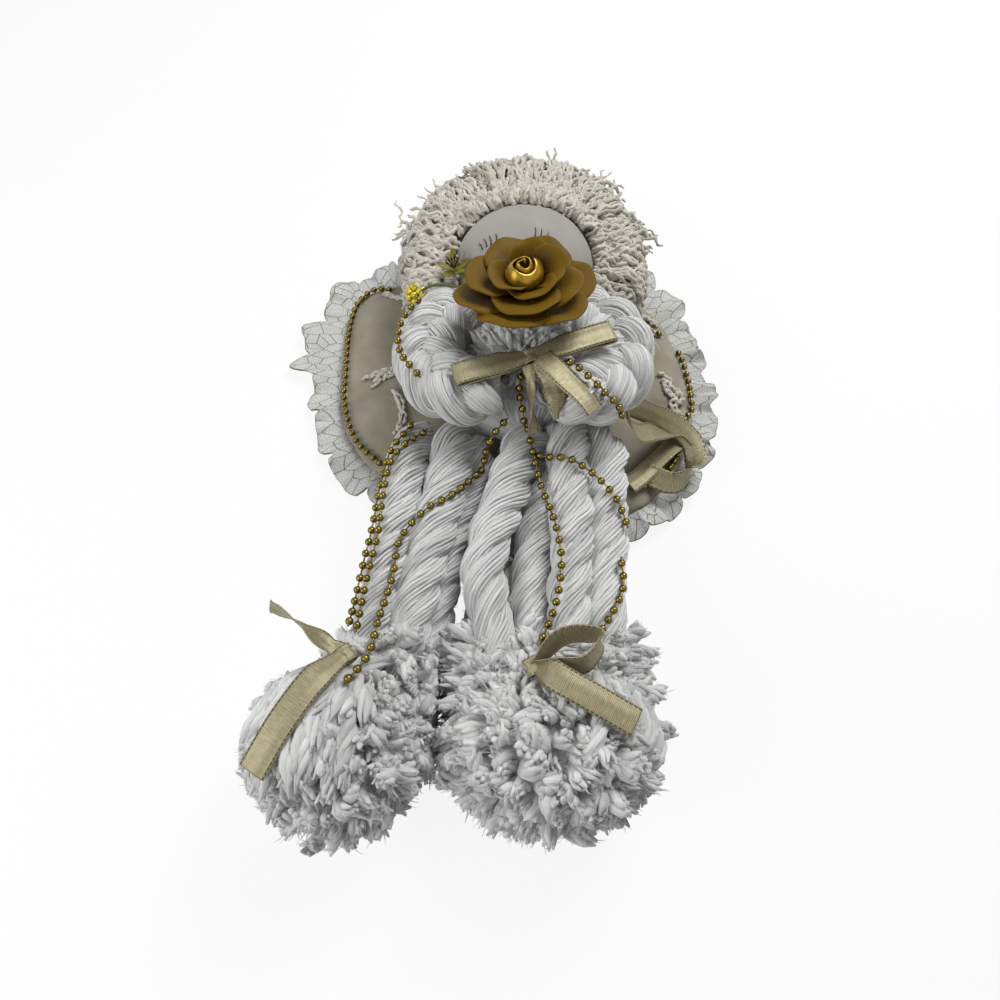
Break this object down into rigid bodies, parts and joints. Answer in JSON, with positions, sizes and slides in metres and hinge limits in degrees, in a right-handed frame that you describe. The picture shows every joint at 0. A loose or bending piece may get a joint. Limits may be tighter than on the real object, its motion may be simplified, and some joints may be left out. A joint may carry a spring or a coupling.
{
  "type": "yarn doll",
  "caption": "Faceless yarn doll lying on its back: padded lace-edged wings, plaited arms, rope-yarn legs that lift and spread at the hips, pompom feet, ribbon bow and fabric rose.",
  "frame": {"origin": "under the middle of the doll's box, on the surface that its back lies on", "axes": "+X to the right as seen from the front, +Y from the feet to the head, +Z out of the front of the doll"},
  "size_m": [0.2065, 0.309, 0.0919],
  "materials": {
    "muslin": "matte plain weave",
    "lace": "open net with metallic threads",
    "hair_yarn": "matte boucle yarn",
    "cotton_yarn": "matte twisted yarn",
    "gold_bead": "metallised gloss",
    "ribbon": "metallic weave",
    "satin_petal": "satin",
    "stem": "matte",
    "berry": "glitter coat",
    "foam": "bead foam"
  },
  "bodies": {
    "torso": {"wing_board": "muslin", "left_wing_pad": "muslin", "right_wing_pad": "muslin", "left_wing_lace": "lace", "right_wing_lace": "lace", "left_wing_beads": "gold_bead", "right_wing_beads_top": "gold_bead", "right_wing_beads_side": "gold_bead", "right_wing_beads_low": "gold_bead", "head_cover": "muslin", "head_core": "foam", "torso_bundle": "cotton_yarn", "left_arm_plait": "cotton_yarn", "right_arm_plait": "cotton_yarn", "bib_yarn": "cotton_yarn", "hair": "hair_yarn", "left_arm_beads": "gold_bead", "chest_beads_right": "gold_bead", "chest_beads_middle": "gold_bead", "chest_bow": "ribbon", "chest_ribbon_twist": "ribbon", "chest_ribbon_spindle": "ribbon", "chest_ribbon_wide": "ribbon", "wing_ribbon": "ribbon", "rose_outer_petals": "satin_petal", "rose_middle_petals": "satin_petal", "rose_inner_petals": "satin_petal", "rose_bud": "satin_petal", "rose_calyx": "stem", "filler_flower": "stem", "filler_stem": "stem", "berry_cluster": "berry", "berry_stem": "stem"},
    "left_hip": {"left_hip_knot": "cotton_yarn"},
    "left_leg": {"left_leg_outer_rope": "cotton_yarn", "left_leg_inner_rope": "cotton_yarn", "left_leg_under_rope": "cotton_yarn", "left_leg_low_rope": "cotton_yarn", "left_pompom": "cotton_yarn", "left_ankle_cord": "cotton_yarn", "left_ankle_ribbon": "ribbon", "left_leg_beads_outer": "gold_bead", "left_leg_beads_inner": "gold_bead", "left_leg_beads_cross": "gold_bead"},
    "right_hip": {"right_hip_knot": "cotton_yarn"},
    "right_leg": {"right_leg_front_rope": "cotton_yarn", "right_leg_middle_rope": "cotton_yarn", "right_leg_inner_rope": "cotton_yarn", "right_leg_outer_rope": "cotton_yarn", "right_leg_under_rope": "cotton_yarn", "right_pompom": "cotton_yarn", "right_ankle_cord": "cotton_yarn", "right_ankle_ribbon": "ribbon", "right_leg_beads_middle": "gold_bead", "right_leg_beads_cross": "gold_bead", "right_leg_beads_outer": "gold_bead"}
  },
  "joints": [
    {"name": "left_leg_swing", "type": "hinge", "parent": "torso", "child": "left_hip", "pos_m": [-0.02, -0.005, 0.024], "axis": [0, 0, -1], "range_deg": [0, 15]},
    {"name": "left_leg_lift", "type": "hinge", "parent": "left_hip", "child": "left_leg", "pos_m": [-0.02, -0.005, 0.024], "axis": [-1, 0, 0], "range_deg": [0, 40]},
    {"name": "right_leg_swing", "type": "hinge", "parent": "torso", "child": "right_hip", "pos_m": [0.029, -0.005, 0.024], "axis": [0, 0, 1], "range_deg": [0, 15]},
    {"name": "right_leg_lift", "type": "hinge", "parent": "right_hip", "child": "right_leg", "pos_m": [0.029, -0.005, 0.024], "axis": [-1, 0, 0], "range_deg": [0, 40]}
  ]
}
